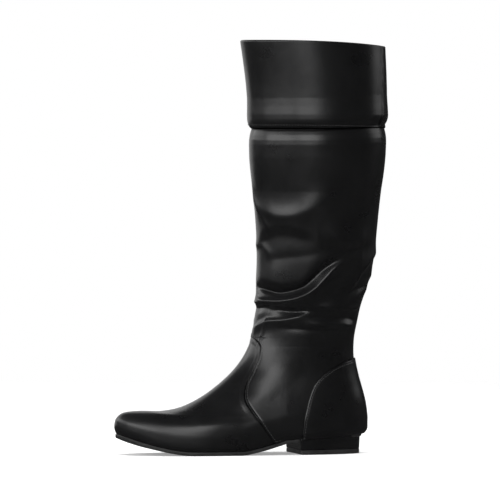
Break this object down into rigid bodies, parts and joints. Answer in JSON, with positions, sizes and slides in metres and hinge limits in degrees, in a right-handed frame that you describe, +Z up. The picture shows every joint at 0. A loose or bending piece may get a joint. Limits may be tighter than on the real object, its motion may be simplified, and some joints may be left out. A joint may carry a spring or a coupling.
{
  "type": "knee-high boot",
  "caption": "Knee-high slouch boot for the left foot in smooth black leather, with a deep cuff, a low wrapped heel and a zip on the inner side",
  "frame": {"origin": "on the floor, at the middle of the heel's tread", "axes": "+Z up along the leg, -X towards the toe, -Y towards the outer side of the left foot"},
  "size_m": [0.2841, 0.1029, 0.4256],
  "materials": {
    "leg_leather": "smooth semi-gloss black leather with a very fine grain",
    "heel_leather": "glossy black leather wrap",
    "sole_rubber": "matte black rubber with a fine tread",
    "heel_rubber": "matte black rubber",
    "sock_lining": "black knitted lining cloth",
    "zip_tape": "black woven tape",
    "zip_coil": "black nylon coil",
    "zip_metal": "dark nickel-plated metal"
  },
  "bodies": {
    "boot": {"upper": "leg_leather", "cuff": "leg_leather", "heel_counter": "leg_leather", "heel_block": "heel_leather", "outsole": "sole_rubber", "heel_top_piece": "heel_rubber", "insole": "sock_lining", "zip_tape_front": "zip_tape", "zip_tape_back": "zip_tape", "zip_coil": "zip_coil", "zip_slider": "zip_metal"},
    "pull": {"zip_pull": "zip_metal"}
  },
  "joints": [
    {"name": "zip_pull_swing", "type": "hinge", "parent": "boot", "child": "pull", "pos_m": [0.00475, 0.04908, 0.22546], "axis": [0.9841, -0.1756, -0.0269], "range_deg": [0, 150]}
  ]
}
